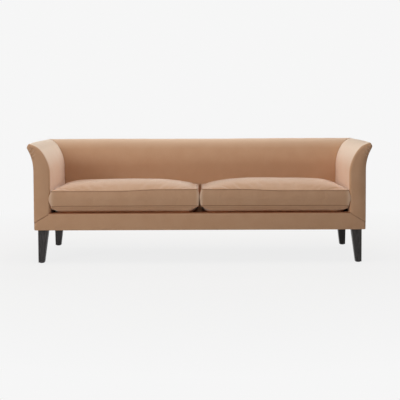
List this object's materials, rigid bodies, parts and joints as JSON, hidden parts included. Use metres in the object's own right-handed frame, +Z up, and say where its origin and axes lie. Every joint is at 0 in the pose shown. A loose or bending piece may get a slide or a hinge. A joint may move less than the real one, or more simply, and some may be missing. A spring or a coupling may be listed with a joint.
{
  "type": "three-seater sofa",
  "caption": "Long upholstered sofa with flared mitred arms and back, loose boxed seat cushions that lift off, and dark tapered square legs.",
  "frame": {"origin": "on the floor, in the middle of the sofa's length and depth", "axes": "+X along the sofa towards the right arm as seen from the front, -Y out of the front, +Z up"},
  "size_m": [2.0758, 0.7348, 0.716],
  "materials": {
    "cushion_fabric": "matte",
    "sofa_fabric": "matte",
    "piping_fabric": "matte",
    "deck_cloth": "matte",
    "dust_cloth": "matte",
    "strap_webbing": "matte",
    "cushion_foam": "matte",
    "foam": "matte",
    "hardboard": "matte",
    "plywood": "matte",
    "beech": "matte",
    "stained_leg": "satin",
    "zinc_steel": "satin",
    "glide_plastic": "matte",
    "zip_tape": "matte",
    "zip_metal": "satin"
  },
  "bodies": {
    "frame": {"back_foam": "foam", "back_inside_panel": "hardboard", "back_outside_panel": "hardboard", "back_rail": "beech", "back_top_rail": "beech", "cross_rail": "beech", "cross_straps": "strap_webbing", "deck_cloth": "deck_cloth", "deck_pad": "foam", "dust_cover": "dust_cloth", "front_border_cover": "sofa_fabric", "front_edge_pad": "foam", "front_left_leg": "stained_leg", "front_rail": "beech", "front_right_leg": "stained_leg", "glides": "glide_plastic", "inside_back_cover": "sofa_fabric", "left_arm_cover": "sofa_fabric", "left_arm_foam": "foam", "left_arm_front_board": "plywood", "left_arm_front_pad": "foam", "left_arm_inside_panel": "hardboard", "left_arm_outside_panel": "hardboard", "left_arm_top_rail": "beech", "left_back_board": "plywood", "left_corner_post": "beech", "left_outside_arm_cover": "sofa_fabric", "left_side_rail": "beech", "leg_blocks": "beech", "leg_bolts": "zinc_steel", "leg_plates": "zinc_steel", "long_straps": "strap_webbing", "middle_back_board": "plywood", "outside_back_cover": "sofa_fabric", "rear_left_leg": "stained_leg", "rear_right_leg": "stained_leg", "right_arm_cover": "sofa_fabric", "right_arm_foam": "foam", "right_arm_front_board": "plywood", "right_arm_front_pad": "foam", "right_arm_inside_panel": "hardboard", "right_arm_outside_panel": "hardboard", "right_arm_top_rail": "beech", "right_back_board": "plywood", "right_corner_post": "beech", "right_outside_arm_cover": "sofa_fabric", "right_side_rail": "beech", "seat_back_rail": "beech"},
    "left_cushion": {"left_cushion": "cushion_fabric", "left_cushion_core": "cushion_foam", "left_cushion_piping": "piping_fabric", "left_zip": "zip_tape"},
    "right_cushion": {"right_cushion": "cushion_fabric", "right_cushion_core": "cushion_foam", "right_cushion_piping": "piping_fabric", "right_zip": "zip_tape"},
    "left_zip_slider": {"left_zip_slider": "zip_metal"},
    "right_zip_slider": {"right_zip_slider": "zip_metal"}
  },
  "joints": [
    {"name": "left_cushion_lift", "type": "slide", "parent": "frame", "child": "left_cushion", "axis": [0, 0, 1], "range_m": [0, 0.46]},
    {"name": "right_cushion_lift", "type": "slide", "parent": "frame", "child": "right_cushion", "axis": [0, 0, 1], "range_m": [0, 0.46]},
    {"name": "left_zip_run", "type": "slide", "parent": "left_cushion", "child": "left_zip_slider", "axis": [-1, 0, 0], "range_m": [0, 0.741]},
    {"name": "right_zip_run", "type": "slide", "parent": "right_cushion", "child": "right_zip_slider", "axis": [1, 0, 0], "range_m": [0, 0.741]}
  ]
}
